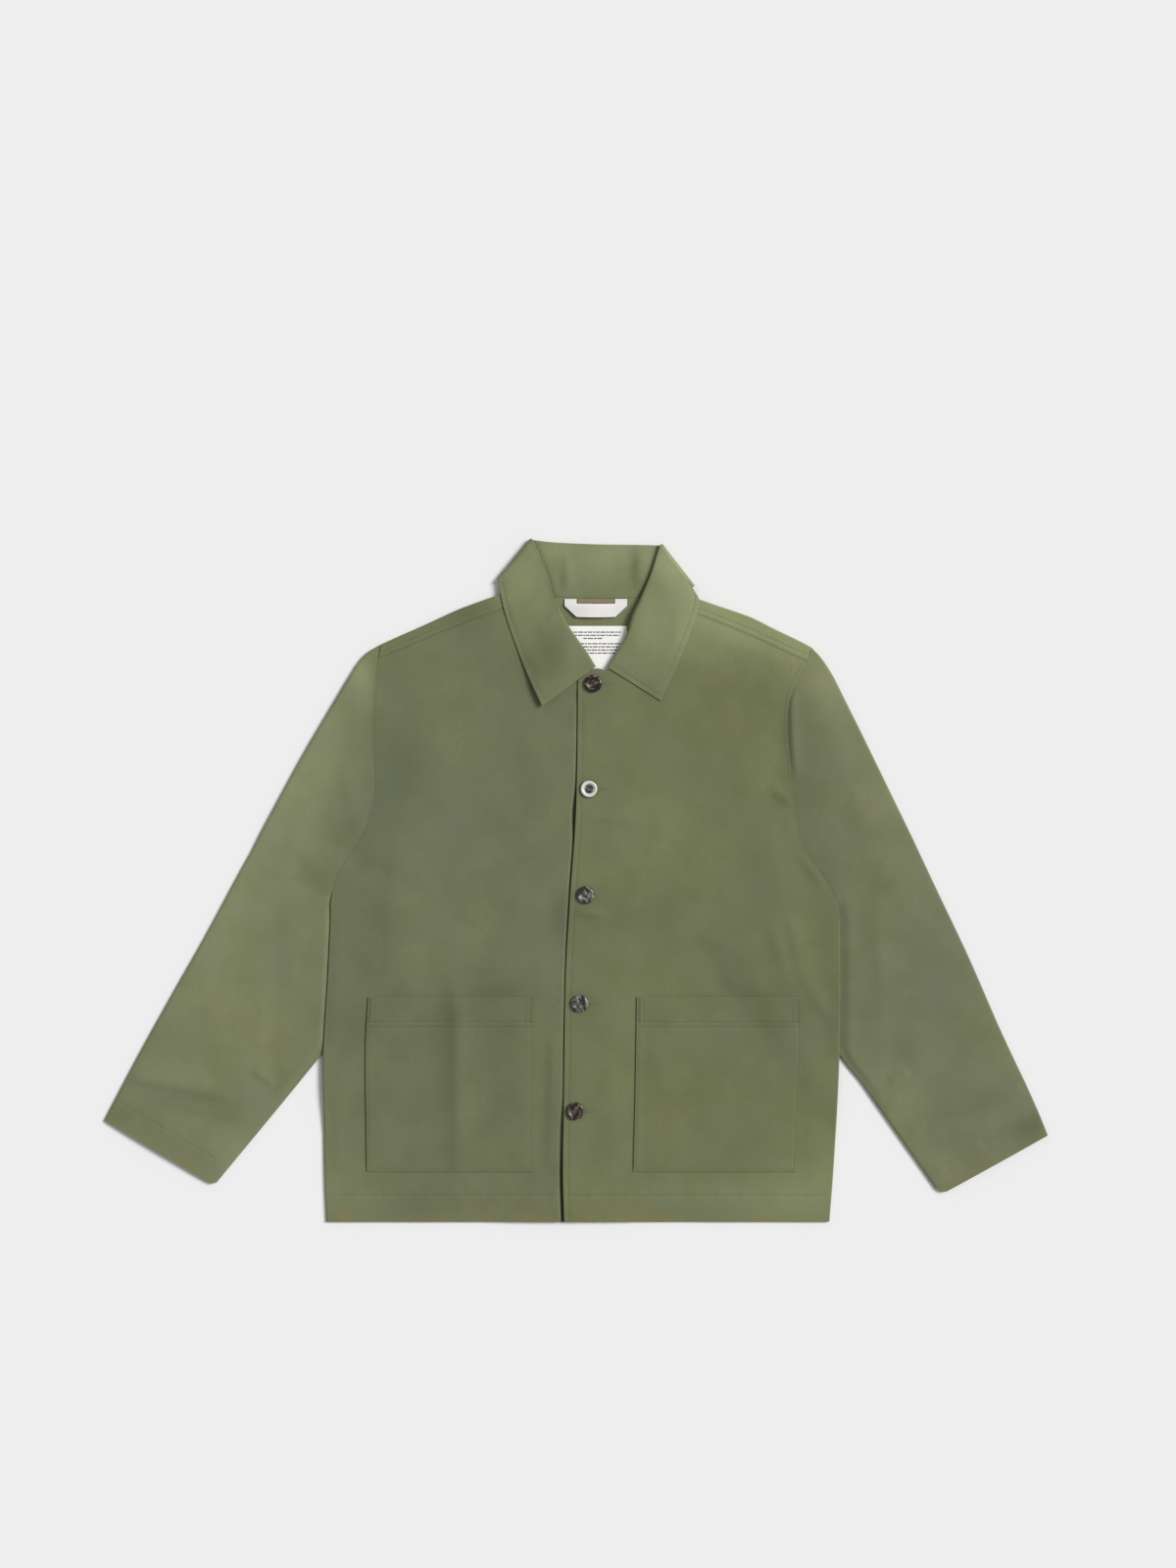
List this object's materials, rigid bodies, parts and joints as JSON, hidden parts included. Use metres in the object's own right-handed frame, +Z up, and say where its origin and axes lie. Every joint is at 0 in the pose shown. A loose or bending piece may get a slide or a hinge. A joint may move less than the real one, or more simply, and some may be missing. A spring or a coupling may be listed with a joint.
{
  "type": "work jacket",
  "caption": "Boxy cotton work jacket laid flat and buttoned up, with a turned-down collar, straight sleeves and patch pockets.",
  "frame": {"origin": "middle of the underside of the bounding box, on the ground that the jacket lies on", "axes": "+X towards the viewer's right, which is the wearer's left; +Y from the hem to the collar; +Z up from the ground, out of the fronts"},
  "size_m": [1.0582, 0.762, 0.0111],
  "materials": {
    "back": "olive cotton canvas, matte",
    "front_left": "olive cotton canvas, matte",
    "front_right": "olive cotton canvas, matte",
    "sleeve_left": "olive cotton canvas, matte",
    "sleeve_right": "olive cotton canvas, matte",
    "collar": "olive cotton canvas, matte",
    "pocket_left": "olive cotton canvas, matte",
    "pocket_right": "olive cotton canvas, matte",
    "hanger_loop": "white cotton tape",
    "neck_label": "white woven tape",
    "button_1": "mottled dark brown horn look, satin",
    "button_2": "mottled dark brown horn look, satin",
    "button_3": "mottled dark brown horn look, satin",
    "button_4": "mottled dark brown horn look, satin",
    "button_5": "mottled dark brown horn look, satin"
  },
  "bodies": {
    "root": {"back": "back", "front_left": "front_left", "front_right": "front_right", "sleeve_left": "sleeve_left", "sleeve_right": "sleeve_right", "collar": "collar", "pocket_left": "pocket_left", "pocket_right": "pocket_right", "hanger_loop": "hanger_loop", "neck_label": "neck_label", "button_1": "button_1", "button_2": "button_2", "button_3": "button_3", "button_4": "button_4", "button_5": "button_5"}
  },
  "joints": []
}
